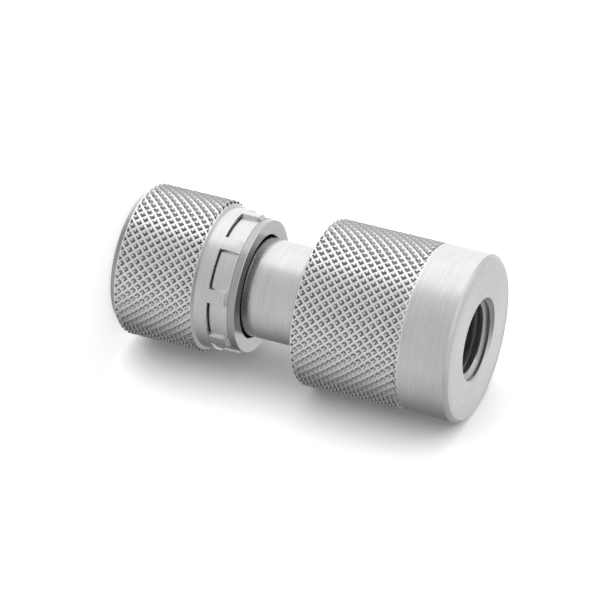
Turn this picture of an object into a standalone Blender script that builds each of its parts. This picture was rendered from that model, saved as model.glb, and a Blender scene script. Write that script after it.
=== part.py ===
"""Quick-test connector: a knurled coupling nut that spins on the neck of a knurled grip.

The connector stands on the mouth of its nut, with its axis on Z and the threaded port on top.
Lengths are in metres and angles in degrees.
"""

import math

import bmesh
import bpy
from mathutils import Matrix

# Clearances
RUNNING_GAP = 0.0003
FIT_GAP = 0.00015
SEAL_GAP = 0.0001

# Coupling nut
NUT_DIAMETER = 0.0187
NUT_KNURL_LENGTH = 0.0100
NUT_KNURLS_AROUND = 42
MOUTH_CHAMFER = 0.0012
NUT_END_BEVEL = 0.00025
NUT_THREAD_MINOR_DIAMETER = 0.0134
NUT_THREAD_DEPTH = 0.0008
COUNTERSINK_MARGIN = 0.0001
COLLAR_DIAMETER = 0.0173
COLLAR_LENGTH = 0.0042
COLLAR_END_CHAMFER = 0.0004
SKIRT_WALL = 0.0008
SKIRT_DEPTH = 0.0040

# Staked tabs in the collar
TAB_COUNT = 8
TAB_ANGLE = 34.0
TAB_PHASE = 35.4
WINDOW_LENGTH = 0.0025
SLIT_WIDTH = 0.00025
TAB_DROP = 0.00065
TAB_THICKNESS = 0.00055
HINGE_LENGTH = 0.00035

# Retaining ring
RIM_DIAMETER = 0.0164
RIM_THICKNESS = 0.00075
RIM_BEVEL = 0.0001

# Snap ring
SNAP_RING_DIAMETER = 0.0144
SNAP_RING_THICKNESS = 0.0009
SNAP_RING_OPENING = 30.0
SNAP_GROOVE_DEPTH = 0.0008
SNAP_GROOVE_WALL = 0.0006

# Body
GRIP_DIAMETER = 0.0206
GRIP_LENGTH = 0.0201
GRIP_BAND_LENGTH = 0.0062
GRIP_KNURLS_AROUND = 48
GRIP_END_CHAMFER = 0.0005
GRIP_NECK_BEVEL = 0.0003
NECK_DIAMETER = 0.0122
NECK_LENGTH = 0.0080
HEAD_CHAMFER = 0.0003
NOSE_DIAMETER = 0.0080
NOSE_CHAMFER = 0.0004
NOSE_LAND = 0.0009
NOSE_SHOULDER = 0.0006
BORE_DIAMETER = 0.0032
PORT_MINOR_DIAMETER = 0.00874
PORT_MOUTH_DIAMETER = 0.0103
PORT_DEPTH = 0.0110
PORT_TAPER = 1.0 / 16.0
DRILL_POINT_ANGLE = 118.0

# Knurl teeth
KNURL_DEPTH = 0.0003
KNURL_RUN_OUT = 0.0003

# Seals and pin
O_RING_SECTION = 0.0013
O_RING_PROUD = 0.0002
BACKUP_RING_THICKNESS = 0.0008
PIN_DIAMETER = 0.0014
PIN_REACH = 0.0010
PIN_SHANK_LENGTH = 0.0030
PIN_SHANK_START = 0.0010
PIN_TIP_BEVEL = 0.0002

# Facets
TURNED_STEPS = 32
BORE_STEPS = 24
SMALL_STEPS = 18
TAB_STEPS = 3
SEAL_SECTION_STEPS = 6
PIN_SHANK_SIDES = 4
SHADING_ANGLE = 30.0
CUT_MARGIN = 0.001
JOIN_OVERLAP = 0.0001
TAB_SIDE_OVERLAP = 0.3
MERGE_DISTANCE = 0.000001

# Radii worked out from the diameters
NUT_RADIUS = NUT_DIAMETER / 2
COLLAR_RADIUS = COLLAR_DIAMETER / 2
SKIRT_RADIUS = COLLAR_RADIUS - SKIRT_WALL
THREAD_RADIUS = NUT_THREAD_MINOR_DIAMETER / 2
COUNTERSINK_RADIUS = THREAD_RADIUS + NUT_THREAD_DEPTH + COUNTERSINK_MARGIN
SNAP_RADIUS = SNAP_RING_DIAMETER / 2
CAVITY_RADIUS = SNAP_RADIUS + RUNNING_GAP
NECK_RADIUS = NECK_DIAMETER / 2
RING_HOLE_RADIUS = NECK_RADIUS + RUNNING_GAP
SNAP_GROOVE_RADIUS = NECK_RADIUS - SNAP_GROOVE_DEPTH
TAB_TIP_RADIUS = COLLAR_RADIUS - TAB_DROP
TAB_INNER_RADIUS = TAB_TIP_RADIUS - TAB_THICKNESS
TAB_HINGE_RADIUS = COLLAR_RADIUS - COLLAR_END_CHAMFER
RING_LAND_RADIUS = SKIRT_RADIUS - FIT_GAP
RING_GROOVE_RADIUS = TAB_INNER_RADIUS - FIT_GAP
GRIP_RADIUS = GRIP_DIAMETER / 2
NOSE_RADIUS = NOSE_DIAMETER / 2
SEAL_GROOVE_RADIUS = NOSE_RADIUS + O_RING_PROUD - O_RING_SECTION - SEAL_GAP
BORE_RADIUS = BORE_DIAMETER / 2
PIN_RADIUS = PIN_DIAMETER / 2
PIN_SHANK_RADIUS = BORE_RADIUS - SEAL_GAP

# Heights above the mouth of the nut
KNURL_TOP_Z = MOUTH_CHAMFER + NUT_KNURL_LENGTH
COLLAR_TOP_Z = KNURL_TOP_Z + COLLAR_LENGTH
SKIRT_FLOOR_Z = COLLAR_TOP_Z - SKIRT_DEPTH
WINDOW_Z = COLLAR_TOP_Z - WINDOW_LENGTH
TAB_TIP_Z = WINDOW_Z + SLIT_WIDTH
HINGE_Z = COLLAR_TOP_Z - HINGE_LENGTH
RING_BOTTOM_Z = SKIRT_FLOOR_Z + FIT_GAP
RING_LAND_TOP_Z = TAB_TIP_Z - FIT_GAP
RIM_BOTTOM_Z = COLLAR_TOP_Z + FIT_GAP
REAR_FACE_Z = RIM_BOTTOM_Z + RIM_THICKNESS
SNAP_TOP_Z = RING_BOTTOM_Z - RUNNING_GAP
SNAP_BOTTOM_Z = SNAP_TOP_Z - SNAP_RING_THICKNESS
CAVITY_BOTTOM_Z = SNAP_BOTTOM_Z - RUNNING_GAP
SHOULDER_Z = SNAP_BOTTOM_Z - FIT_GAP - SNAP_GROOVE_WALL
SEAL_GROOVE_TOP_Z = SHOULDER_Z - NOSE_SHOULDER
BACKUP_TOP_Z = SEAL_GROOVE_TOP_Z - SEAL_GAP
BACKUP_BOTTOM_Z = BACKUP_TOP_Z - BACKUP_RING_THICKNESS
O_RING_TOP_Z = BACKUP_BOTTOM_Z - SEAL_GAP
O_RING_Z = O_RING_TOP_Z - O_RING_SECTION / 2
SEAL_GROOVE_BOTTOM_Z = O_RING_TOP_Z - O_RING_SECTION - SEAL_GAP
NOSE_TIP_Z = SEAL_GROOVE_BOTTOM_Z - NOSE_LAND
PIN_TIP_Z = NOSE_TIP_Z - PIN_REACH
GRIP_BOTTOM_Z = REAR_FACE_Z + NECK_LENGTH
GRIP_TOP_Z = GRIP_BOTTOM_Z + GRIP_LENGTH
BAND_Z = GRIP_TOP_Z - GRIP_BAND_LENGTH
PORT_FLOOR_Z = GRIP_TOP_Z - PORT_DEPTH


def clear_scene():
    for item in list(bpy.data.objects):
        bpy.data.objects.remove(item, do_unlink=True)


def make_collection(name):
    collection = bpy.data.collections.new(name)
    bpy.context.scene.collection.children.link(collection)
    return collection


def make_material(name, colour, roughness, metallic):
    material = bpy.data.materials.new(name)
    material.use_nodes = True
    shader = material.node_tree.nodes["Principled BSDF"]
    shader.inputs["Base Color"].default_value = (*colour, 1.0)
    shader.inputs["Roughness"].default_value = roughness
    shader.inputs["Metallic"].default_value = metallic
    return material


def add_object(name, bm, collection, material=None):
    """Puts a finished bmesh into a new object and shades it smooth between its sharp edges."""
    bmesh.ops.recalc_face_normals(bm, faces=bm.faces)
    mesh = bpy.data.meshes.new(name)
    bm.to_mesh(mesh)
    bm.free()
    mesh.shade_smooth()
    mesh.set_sharp_from_angle(angle=math.radians(SHADING_ANGLE))
    if material:
        mesh.materials.append(material)
    item = bpy.data.objects.new(name, mesh)
    collection.objects.link(item)
    return item


def make_cutter(name, bm, collection):
    cutter = add_object(name, bm, collection)
    cutter.hide_render = True
    cutter.display_type = "WIRE"
    return cutter


def add_boolean(item, other, operation):
    boolean = item.modifiers.new(other.name, "BOOLEAN")
    boolean.operation = operation
    boolean.solver = "EXACT"
    boolean.object = other


def profile_edges(bm, points, closed):
    """Draws a profile of (radius, height) points in the XZ plane."""
    corners = [bm.verts.new((radius, 0.0, height)) for radius, height in points]
    ends = corners[1:] + corners[:1] if closed else corners[1:]
    return corners, [bm.edges.new(pair) for pair in zip(corners, ends)]


def turned(points, steps, closed=False):
    """Turns a profile once round Z. An open profile gets a flat cap at each end."""
    bm = bmesh.new()
    corners, edges = profile_edges(bm, points, closed)
    bmesh.ops.spin(bm, geom=corners + edges, cent=(0, 0, 0), axis=(0, 0, 1), dvec=(0, 0, 0),
                   angle=2 * math.pi, steps=steps, use_merge=True)
    bmesh.ops.remove_doubles(bm, verts=bm.verts, dist=MERGE_DISTANCE)
    if not closed:
        rim = [edge for edge in bm.edges if edge.is_boundary]
        bmesh.ops.holes_fill(bm, edges=rim, sides=0)
    return bm


def swept(bm, points, start, sweep, steps):
    """Sweeps a closed profile about Z through part of a turn, from a start angle in degrees."""
    corners = [bm.verts.new((radius, 0.0, height)) for radius, height in points]
    face = bm.faces.new(corners)
    turn = Matrix.Rotation(math.radians(start), 3, "Z")
    bmesh.ops.rotate(bm, verts=corners, cent=(0, 0, 0), matrix=turn)
    bmesh.ops.spin(bm, geom=[face], cent=(0, 0, 0), axis=(0, 0, 1), dvec=(0, 0, 0),
                   angle=math.radians(sweep), steps=steps)


def knurled(below, above, radius, bottom, top, around):
    """Turns a profile whose middle stretch is a diamond knurl between two heights.

    The stretch is a grid of half pitches. Every second crossing keeps the full radius and is the
    point of a pyramid. The others sink to the root, and the faces split along the root lines, so
    the grooves cross at about 45 degrees.
    """
    half_turns = 2 * around
    half_pitch = 2 * math.pi * radius / half_turns
    rows = round((top - bottom) / half_pitch)
    row_height = (top - bottom) / rows
    heights = [top - row_height * row for row in range(rows + 1)]
    bm = turned(above + [(radius, height) for height in heights] + below, half_turns)
    roots = []
    for vert in bm.verts:
        on_surface = math.hypot(vert.co.x, vert.co.y) > radius - MERGE_DISTANCE
        in_stretch = bottom - MERGE_DISTANCE < vert.co.z < top + MERGE_DISTANCE
        if not (on_surface and in_stretch):
            continue
        row = round((top - vert.co.z) / row_height)
        column = round(math.atan2(vert.co.y, vert.co.x) / (2 * math.pi) * half_turns)
        if (row + column) % 2:
            scale = (radius - KNURL_DEPTH) / radius
            vert.co.x *= scale
            vert.co.y *= scale
            roots.append(vert)
    bmesh.ops.connect_verts(bm, verts=roots)
    return bm


def nut_blank():
    """The outside of the nut, from its collar down to its mouth."""
    root = NUT_RADIUS - KNURL_DEPTH
    above = [
        (COLLAR_RADIUS - COLLAR_END_CHAMFER, COLLAR_TOP_Z),
        (COLLAR_RADIUS, COLLAR_TOP_Z - COLLAR_END_CHAMFER),
        (COLLAR_RADIUS, KNURL_TOP_Z),
        (root, KNURL_TOP_Z),
    ]
    below = [
        (root, MOUTH_CHAMFER - KNURL_DEPTH),
        (NUT_RADIUS - MOUTH_CHAMFER, 0.0),
    ]
    return knurled(below, above, NUT_RADIUS, MOUTH_CHAMFER, KNURL_TOP_Z - NUT_END_BEVEL,
                   NUT_KNURLS_AROUND)


def nut_bore():
    """The inside of the nut: thread bore, snap ring cavity and skirt bore."""
    return turned([
        (SKIRT_RADIUS, COLLAR_TOP_Z + CUT_MARGIN),
        (SKIRT_RADIUS, SKIRT_FLOOR_Z),
        (CAVITY_RADIUS, SKIRT_FLOOR_Z),
        (CAVITY_RADIUS, CAVITY_BOTTOM_Z),
        (THREAD_RADIUS, CAVITY_BOTTOM_Z),
        (THREAD_RADIUS, COUNTERSINK_RADIUS - THREAD_RADIUS),
        (COUNTERSINK_RADIUS, 0.0),
        (COUNTERSINK_RADIUS, -CUT_MARGIN),
    ], TURNED_STEPS)


def tab_starts():
    pitch = 360.0 / TAB_COUNT
    return [TAB_PHASE + pitch * index - TAB_ANGLE / 2 for index in range(TAB_COUNT)]


def tab_windows():
    """Windows through the collar, and the lowered stretch of its end above each of them."""
    bm = bmesh.new()
    outside = COLLAR_RADIUS + CUT_MARGIN
    inside = TAB_INNER_RADIUS - CUT_MARGIN
    for start in tab_starts():
        swept(bm, [
            (outside, COLLAR_TOP_Z + CUT_MARGIN),
            (outside, WINDOW_Z),
            (inside, WINDOW_Z),
            (inside, HINGE_Z),
            (TAB_HINGE_RADIUS, HINGE_Z),
            (TAB_HINGE_RADIUS, COLLAR_TOP_Z + CUT_MARGIN),
        ], start, TAB_ANGLE, TAB_STEPS)
    return bm


def tabs():
    """Tabs that lean inwards from the end of the collar, with their free ends facing the mouth."""
    bm = bmesh.new()
    root_z = HINGE_Z + JOIN_OVERLAP
    for start in tab_starts():
        swept(bm, [
            (TAB_HINGE_RADIUS - JOIN_OVERLAP, root_z),
            (TAB_TIP_RADIUS, TAB_TIP_Z),
            (TAB_INNER_RADIUS, TAB_TIP_Z),
            (SKIRT_RADIUS + JOIN_OVERLAP, root_z),
        ], start - TAB_SIDE_OVERLAP, TAB_ANGLE + 2 * TAB_SIDE_OVERLAP, TAB_STEPS)
    return bm


def make_nut(parts, cutters, steel):
    nut = add_object("coupling_nut", nut_blank(), parts, steel)
    add_boolean(nut, make_cutter("nut_bore", nut_bore(), cutters), "DIFFERENCE")
    add_boolean(nut, make_cutter("tab_windows", tab_windows(), cutters), "DIFFERENCE")
    add_boolean(nut, make_cutter("tab_blanks", tabs(), cutters), "UNION")
    return nut


def make_retaining_ring(parts, polished):
    rim = RIM_DIAMETER / 2
    bm = turned([
        (rim - RIM_BEVEL, REAR_FACE_Z),
        (rim, REAR_FACE_Z - RIM_BEVEL),
        (rim, RIM_BOTTOM_Z),
        (RING_GROOVE_RADIUS, RIM_BOTTOM_Z),
        (RING_GROOVE_RADIUS, RING_LAND_TOP_Z),
        (RING_LAND_RADIUS, RING_LAND_TOP_Z),
        (RING_LAND_RADIUS, RING_BOTTOM_Z),
        (RING_HOLE_RADIUS, RING_BOTTOM_Z),
        (RING_HOLE_RADIUS, REAR_FACE_Z - RIM_BEVEL),
        (RING_HOLE_RADIUS + RIM_BEVEL, REAR_FACE_Z),
    ], TURNED_STEPS, closed=True)
    return add_object("retaining_ring", bm, parts, polished)


def make_snap_ring(parts, spring_steel):
    bm = bmesh.new()
    swept(bm, [
        (SNAP_RADIUS, SNAP_TOP_Z),
        (SNAP_RADIUS, SNAP_BOTTOM_Z),
        (SNAP_GROOVE_RADIUS + FIT_GAP, SNAP_BOTTOM_Z),
        (SNAP_GROOVE_RADIUS + FIT_GAP, SNAP_TOP_Z),
    ], SNAP_RING_OPENING / 2, 360.0 - SNAP_RING_OPENING, BORE_STEPS)
    return add_object("snap_ring", bm, parts, spring_steel)


def grip_blank():
    """The outside of the grip: port chamfer, plain band, knurl and the bevel towards the neck."""
    above = [
        (GRIP_RADIUS - GRIP_END_CHAMFER, GRIP_TOP_Z),
        (GRIP_RADIUS, GRIP_TOP_Z - GRIP_END_CHAMFER),
        (GRIP_RADIUS, BAND_Z + KNURL_RUN_OUT),
    ]
    below = [(GRIP_RADIUS - KNURL_DEPTH - GRIP_NECK_BEVEL, GRIP_BOTTOM_Z)]
    return knurled(below, above, GRIP_RADIUS, GRIP_BOTTOM_Z + GRIP_NECK_BEVEL, BAND_Z,
                   GRIP_KNURLS_AROUND)


def stem():
    """Neck, head with the snap ring groove, and nose with the seal groove."""
    return turned([
        (NECK_RADIUS, GRIP_BOTTOM_Z + CUT_MARGIN),
        (NECK_RADIUS, SNAP_TOP_Z + FIT_GAP),
        (SNAP_GROOVE_RADIUS, SNAP_TOP_Z + FIT_GAP),
        (SNAP_GROOVE_RADIUS, SNAP_BOTTOM_Z - FIT_GAP),
        (NECK_RADIUS, SNAP_BOTTOM_Z - FIT_GAP),
        (NECK_RADIUS, SHOULDER_Z + HEAD_CHAMFER),
        (NECK_RADIUS - HEAD_CHAMFER, SHOULDER_Z),
        (NOSE_RADIUS, SHOULDER_Z),
        (NOSE_RADIUS, SEAL_GROOVE_TOP_Z),
        (SEAL_GROOVE_RADIUS, SEAL_GROOVE_TOP_Z),
        (SEAL_GROOVE_RADIUS, SEAL_GROOVE_BOTTOM_Z),
        (NOSE_RADIUS, SEAL_GROOVE_BOTTOM_Z),
        (NOSE_RADIUS, NOSE_TIP_Z + NOSE_CHAMFER),
        (NOSE_RADIUS - NOSE_CHAMFER, NOSE_TIP_Z),
    ], TURNED_STEPS)


def port_and_bore():
    """Tapered port from the end of the grip, its drill point and the bore through the nose."""
    mouth = PORT_MOUTH_DIAMETER / 2
    minor = PORT_MINOR_DIAMETER / 2
    floor = minor - PORT_DEPTH * PORT_TAPER / 2
    countersink = mouth - minor
    point = (floor - BORE_RADIUS) / math.tan(math.radians(DRILL_POINT_ANGLE / 2))
    return turned([
        (mouth, GRIP_TOP_Z + CUT_MARGIN),
        (mouth, GRIP_TOP_Z),
        (minor, GRIP_TOP_Z - countersink),
        (floor, PORT_FLOOR_Z),
        (BORE_RADIUS, PORT_FLOOR_Z - point),
        (BORE_RADIUS, NOSE_TIP_Z - CUT_MARGIN),
    ], BORE_STEPS)


def make_body(parts, cutters, steel):
    body = add_object("body", grip_blank(), parts, steel)
    add_boolean(body, make_cutter("stem_blank", stem(), cutters), "UNION")
    add_boolean(body, make_cutter("port_and_bore", port_and_bore(), cutters), "DIFFERENCE")
    return body


def make_o_ring(parts, rubber):
    section = O_RING_SECTION / 2
    centre = SEAL_GROOVE_RADIUS + SEAL_GAP + section
    points = []
    for index in range(SEAL_SECTION_STEPS):
        angle = 2 * math.pi * index / SEAL_SECTION_STEPS
        points.append((centre + section * math.cos(angle), O_RING_Z - section * math.sin(angle)))
    return add_object("nose_o_ring", turned(points, SMALL_STEPS, closed=True), parts, rubber)


def make_backup_ring(parts, plastic):
    inner = SEAL_GROOVE_RADIUS + SEAL_GAP
    outer = NOSE_RADIUS - SEAL_GAP
    bm = turned([
        (outer, BACKUP_TOP_Z),
        (outer, BACKUP_BOTTOM_Z),
        (inner, BACKUP_BOTTOM_Z),
        (inner, BACKUP_TOP_Z),
    ], SMALL_STEPS, closed=True)
    return add_object("backup_ring", bm, parts, plastic)


def make_pin(parts, cutters, steel):
    """Pin with a round tip and a square shank, whose flats leave room for the flow."""
    shank_bottom = NOSE_TIP_Z + PIN_SHANK_START
    bm = turned([
        (PIN_RADIUS, shank_bottom + PIN_SHANK_LENGTH / 2),
        (PIN_RADIUS, PIN_TIP_Z + PIN_TIP_BEVEL),
        (PIN_RADIUS - PIN_TIP_BEVEL, PIN_TIP_Z),
    ], SMALL_STEPS)
    pin = add_object("depressor_pin", bm, parts, steel)
    shank = turned([
        (PIN_SHANK_RADIUS, shank_bottom + PIN_SHANK_LENGTH),
        (PIN_SHANK_RADIUS, shank_bottom),
    ], PIN_SHANK_SIDES)
    add_boolean(pin, make_cutter("pin_shank", shank, cutters), "UNION")
    return pin


def main():
    clear_scene()
    parts = make_collection("quick_test_connector")
    cutters = make_collection("cutters")
    turned_steel = make_material("turned steel", (0.66, 0.66, 0.65), 0.30, 1.0)
    polished_steel = make_material("polished steel", (0.68, 0.68, 0.67), 0.12, 1.0)
    spring_steel = make_material("spring steel", (0.40, 0.40, 0.41), 0.35, 1.0)
    rubber = make_material("black rubber", (0.02, 0.02, 0.02), 0.55, 0.0)
    plastic = make_material("white plastic", (0.85, 0.84, 0.80), 0.45, 0.0)
    make_body(parts, cutters, turned_steel)
    make_nut(parts, cutters, turned_steel)
    make_retaining_ring(parts, polished_steel)
    make_snap_ring(parts, spring_steel)
    make_o_ring(parts, rubber)
    make_backup_ring(parts, plastic)
    make_pin(parts, cutters, turned_steel)


main()
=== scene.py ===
"""Quick-test connector, dressed: fine knurls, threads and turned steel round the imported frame.

The connector stands on the mouth of its nut with its axis on Z, as the frame has it. Lengths are
in metres and angles in degrees. Panel, operators and sizes are laid out as in an add-on, and
main() calls the operators in order.
"""

import math

import bmesh
import bpy
from bpy.props import FloatProperty, FloatVectorProperty, IntProperty, PointerProperty
from mathutils import Matrix, Vector


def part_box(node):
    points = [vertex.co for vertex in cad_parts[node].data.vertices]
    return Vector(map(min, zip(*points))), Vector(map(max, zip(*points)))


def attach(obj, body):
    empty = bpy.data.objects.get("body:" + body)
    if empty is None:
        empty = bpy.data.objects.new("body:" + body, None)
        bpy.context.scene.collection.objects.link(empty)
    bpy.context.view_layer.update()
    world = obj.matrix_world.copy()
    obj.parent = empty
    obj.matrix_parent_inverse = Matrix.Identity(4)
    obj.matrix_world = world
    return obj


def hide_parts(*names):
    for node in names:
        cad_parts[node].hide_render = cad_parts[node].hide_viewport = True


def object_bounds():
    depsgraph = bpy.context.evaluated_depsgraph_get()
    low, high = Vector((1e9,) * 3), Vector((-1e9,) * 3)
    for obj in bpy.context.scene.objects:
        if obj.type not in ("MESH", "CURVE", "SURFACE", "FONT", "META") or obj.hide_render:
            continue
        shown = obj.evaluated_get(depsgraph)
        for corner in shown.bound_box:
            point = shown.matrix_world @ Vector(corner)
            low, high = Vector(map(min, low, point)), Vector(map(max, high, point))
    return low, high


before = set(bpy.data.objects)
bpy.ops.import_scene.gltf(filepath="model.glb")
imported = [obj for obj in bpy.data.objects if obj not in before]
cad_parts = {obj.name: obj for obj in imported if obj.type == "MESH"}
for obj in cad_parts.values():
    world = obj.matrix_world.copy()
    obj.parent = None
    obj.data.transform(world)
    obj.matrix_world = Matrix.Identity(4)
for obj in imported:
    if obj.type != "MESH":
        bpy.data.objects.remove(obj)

bl_info = {
    "name": "Quick-test connector",
    "version": (1, 0, 0),
    "blender": (4, 5, 0),
    "location": "View3D > Sidebar > Connector",
    "description": "Builds the connector's knurled, threaded and turned pieces and their studio",
    "category": "Add Mesh",
}

CAD_LOW, CAD_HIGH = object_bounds()
BODY_LOW, BODY_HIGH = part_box("body")
NUT_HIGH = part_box("coupling_nut")[1]
RING_LOW, RING_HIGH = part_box("retaining_ring")
SNAP_LOW, SNAP_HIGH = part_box("snap_ring")
O_RING_LOW, O_RING_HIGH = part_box("nose_o_ring")
BACKUP_LOW, BACKUP_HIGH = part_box("backup_ring")
PIN_LOW, PIN_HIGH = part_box("depressor_pin")

MM = 0.001
FULL_TURN = 2 * math.pi
WELD = 1e-7
SHARP_ANGLE = 32.0
EDGE_BREAK = 0.06 * MM
# Room between pieces that turn against each other, between pieces that sit in each other, and
# round the seals
RUNNING_GAP = 0.30 * MM
FIT_GAP = 0.15 * MM
SEAL_GAP = 0.10 * MM
# Turned steps on each tooth of a knurl, on the retaining ring and on the small round pieces
STEPS_PER_TOOTH = 4
RING_STEPS = 192
SMALL_STEPS = 96
PIN_STEPS = 48
SNAP_RING_STEPS = 110
# The port's taper on the radius, the narrowing of its countersink for each length that it goes in,
# and half of the angle of the drill's point
PIPE_TAPER = 1.0 / 32.0
PORT_FLARE = 0.75
DRILL_HALF_ANGLE = 59.0
# Turns over which the thread of the port runs out
PORT_RUN_OUT = 3
# Outline of one thread turn, as (share of the pitch, share of the depth)
THREAD_OUTLINE = ((0.0, 0.0), (0.13, 0.04), (0.46, 1.0), (0.5, 1.0), (0.54, 1.0), (0.87, 0.04))
# Painted shade: share of its colour that a marked face loses, or a painted highlight that it gains
# where it is below zero: the tops and grooves of the knurls, their flanks, the flanks of the
# threads, and the rim and the rear face of the retaining ring
KNURL_PAINTED_HIGHLIGHT = -0.28
FLANK_PAINTED_SHADE = 0.32
THREAD_PAINTED_SHADE = 0.12
RIM_PAINTED_SHADE = 0.33
REAR_PAINTED_SHADE = 0.26


def length(name, default, description):
    return FloatProperty(name=name, description=description, default=default, subtype="DISTANCE",
                         unit="LENGTH", precision=5)


def angle(name, default, description):
    return FloatProperty(name=name, description=description, default=default)


def colour(name, default, description):
    return FloatVectorProperty(name=name, description=description, default=default, size=3,
                               subtype="COLOR", min=0.0, max=1.0)


class KnurlSizes(bpy.types.PropertyGroup):
    grip_around: IntProperty(name="Grip teeth around", default=52,
                             description="Diamonds in one row round the grip")
    grip_rows: IntProperty(name="Grip rows", default=11,
                           description="Rows of diamonds along the grip")
    nut_around: IntProperty(name="Nut teeth around", default=48,
                            description="Diamonds in one row round the nut")
    nut_rows: IntProperty(name="Nut rows", default=8,
                          description="Rows of diamonds along the nut")
    depth: length("Knurl depth", 0.30 * MM, "Height of a tooth above its groove")
    groove: length("Groove width", 0.26 * MM, "Width of the flat bottom of a groove")
    flank: length("Flank width", 0.20 * MM, "Width of each slope of a tooth, seen from above")


class BodySizes(bpy.types.PropertyGroup):
    band_length: length("Band length", 6.2 * MM, "Plain band between the knurl and the port face")
    grip_length: length("Grip length", 20.1 * MM, "Length of the grip")
    end_chamfer: length("End chamfer", 0.5 * MM, "Chamfer between the band and the port face")
    neck_radius: length("Neck radius", 6.1 * MM, "Radius of the neck between nut and grip")
    neck_fillet: length("Neck fillet", 0.25 * MM, "Radius of the fillet between neck and grip")
    snap_groove: length("Snap ring groove depth", 0.8 * MM, "Depth of the groove in the neck")
    snap_wall: length("Snap ring groove wall", 0.6 * MM, "Wall in front of that groove")
    head_chamfer: length("Head chamfer", 0.3 * MM, "Chamfer on the end of the neck")
    nose_radius: length("Nose radius", 4.0 * MM, "Radius of the nose that carries the seals")
    nose_chamfer: length("Nose chamfer", 0.4 * MM, "Chamfer on the tip of the nose")
    seal_groove: length("Seal groove depth", 1.2 * MM, "Depth of the groove for the seals")
    bore_radius: length("Bore radius", 1.6 * MM, "Radius of the bore through the nose")
    port_radius: length("Port radius", 5.15 * MM, "Radius of the port's mouth at its countersink")
    port_minor: length("Port thread minor radius", 4.40 * MM, "Crest radius of the port's thread")
    port_depth: length("Port depth", 11.0 * MM, "Depth of the port down to its drill point")
    port_pitch: length("Port thread pitch", 0.9407 * MM, "Axial distance between two thread turns")
    port_thread: length("Port thread depth", 0.60 * MM, "Radial depth of the port's thread")


class NutSizes(bpy.types.PropertyGroup):
    mouth_chamfer: length("Mouth chamfer", 1.2 * MM, "Chamfer round the mouth of the nut")
    knurl_top: length("Knurl top", 11.2 * MM, "Height of the shoulder where the knurl ends")
    collar_radius: length("Collar radius", 8.65 * MM, "Outer radius of the thin collar")
    collar_chamfer: length("Collar chamfer", 0.4 * MM, "Chamfer on the end of the collar")
    shoulder_rise: length("Shoulder rise", 0.25 * MM, "Slope between the knurl and the collar")
    skirt_radius: length("Skirt radius", 7.85 * MM, "Inner radius of the thin collar")
    thread_minor: length("Nut thread minor radius", 6.7 * MM, "Crest radius of the nut's thread")
    thread_pitch: length("Nut thread pitch", 1.5 * MM, "Axial distance between two thread turns")
    thread_depth: length("Nut thread depth", 0.80 * MM, "Radial depth of the nut's thread")
    countersink: length("Mouth countersink", 0.1 * MM, "Countersink beyond the thread's depth")
    tab_count: IntProperty(name="Tabs", default=8, description="Staked tabs in the collar")
    tab_steps: IntProperty(name="Tab width", default=18,
                           description="Width of a tab, in steps of which the collar has 192")
    tab_phase: angle("Tab phase", 35.4, "Angle of the middle of the first tab, in degrees")
    window_z: length("Window foot", 12.9 * MM, "Height of the lower edge of the tab windows")
    window_lean: length("Window edge lean", 0.08 * MM, "Rise of the foot of a window inwards")
    tab_tip_z: length("Tab tip", 13.10 * MM, "Height of the free ends of the tabs")
    tab_drop: length("Tab drop", 0.45 * MM, "How far the free end of a tab is pushed in")
    tab_lean: length("Tab edge lean", 0.22 * MM, "How far the side edges of a tab lean inwards")
    tab_thickness: length("Tab thickness", 0.55 * MM, "Thickness of a tab at its free end")


class InnerSizes(bpy.types.PropertyGroup):
    ring_hole: length("Ring hole radius", 6.4 * MM, "Radius of the retaining ring's hole")
    ring_groove: length("Ring groove radius", 7.3 * MM, "Radius of the groove for the tabs")
    ring_land: length("Ring land radius", 7.7 * MM, "Radius of the ring's land in the collar")
    ring_land_top: length("Ring land height", 13.0 * MM, "Height of the top of that land")
    rim_gap: length("Rim gap", 0.02 * MM, "Gap between the ring's rim and the collar")
    snap_outer: length("Snap ring radius", 7.2 * MM, "Outer radius of the snap ring")
    snap_inner: length("Snap ring hole radius", 5.45 * MM, "Inner radius of the snap ring")
    snap_opening: angle("Snap ring opening", 30.0, "Opening of the snap ring, in degrees")
    seal_inner: length("Seal hole radius", 2.9 * MM, "Inner radius of both seals")
    seal_section: length("O-ring section radius", 0.65 * MM, "Radius of the O-ring's section")
    backup_outer: length("Backup ring radius", 3.9 * MM, "Outer radius of the backup ring")
    pin_radius: length("Pin radius", 0.7 * MM, "Radius of the pin's round tip")
    pin_round: length("Pin rounding", 0.2 * MM, "Rounding on the end of the pin")
    pin_tip: length("Pin tip length", 2.0 * MM, "Length of the pin's round tip")
    pin_shank: length("Pin shank radius", 1.5 * MM, "Radius of the corners of the square shank")
    pin_bevel: length("Pin bevel", 0.08 * MM, "Bevel on the edges of the shank")


class Finishes(bpy.types.PropertyGroup):
    steel: colour("Turned steel", (0.60, 0.60, 0.595), "Turned and knurled stainless steel")
    polished: colour("Polished steel", (0.60, 0.60, 0.595), "Polished face of the retaining ring")
    spring: colour("Spring steel", (0.30, 0.30, 0.31), "Snap ring")
    rubber: colour("Rubber", (0.018, 0.018, 0.019), "O-ring")
    plastic: colour("Plastic", (0.80, 0.79, 0.75), "Backup ring")


# Shapes


def new_piece(name, bm, body, material, slot, *nodes):
    """Turns a finished bmesh into a piece that rides on a body and stands for frame nodes."""
    bmesh.ops.recalc_face_normals(bm, faces=bm.faces)
    mesh = bpy.data.meshes.new(name)
    bm.to_mesh(mesh)
    bm.free()
    mesh.shade_smooth()
    mesh.set_sharp_from_angle(angle=math.radians(SHARP_ANGLE))
    mesh.materials.append(material)
    piece = bpy.data.objects.new(name, mesh)
    bpy.context.scene.collection.objects.link(piece)
    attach(piece, body)
    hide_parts(*nodes)
    return piece


def radius_of(vert):
    return math.hypot(vert.co.x, vert.co.y)


def set_radius(vert, radius):
    scale = radius / radius_of(vert)
    vert.co.x *= scale
    vert.co.y *= scale


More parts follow.
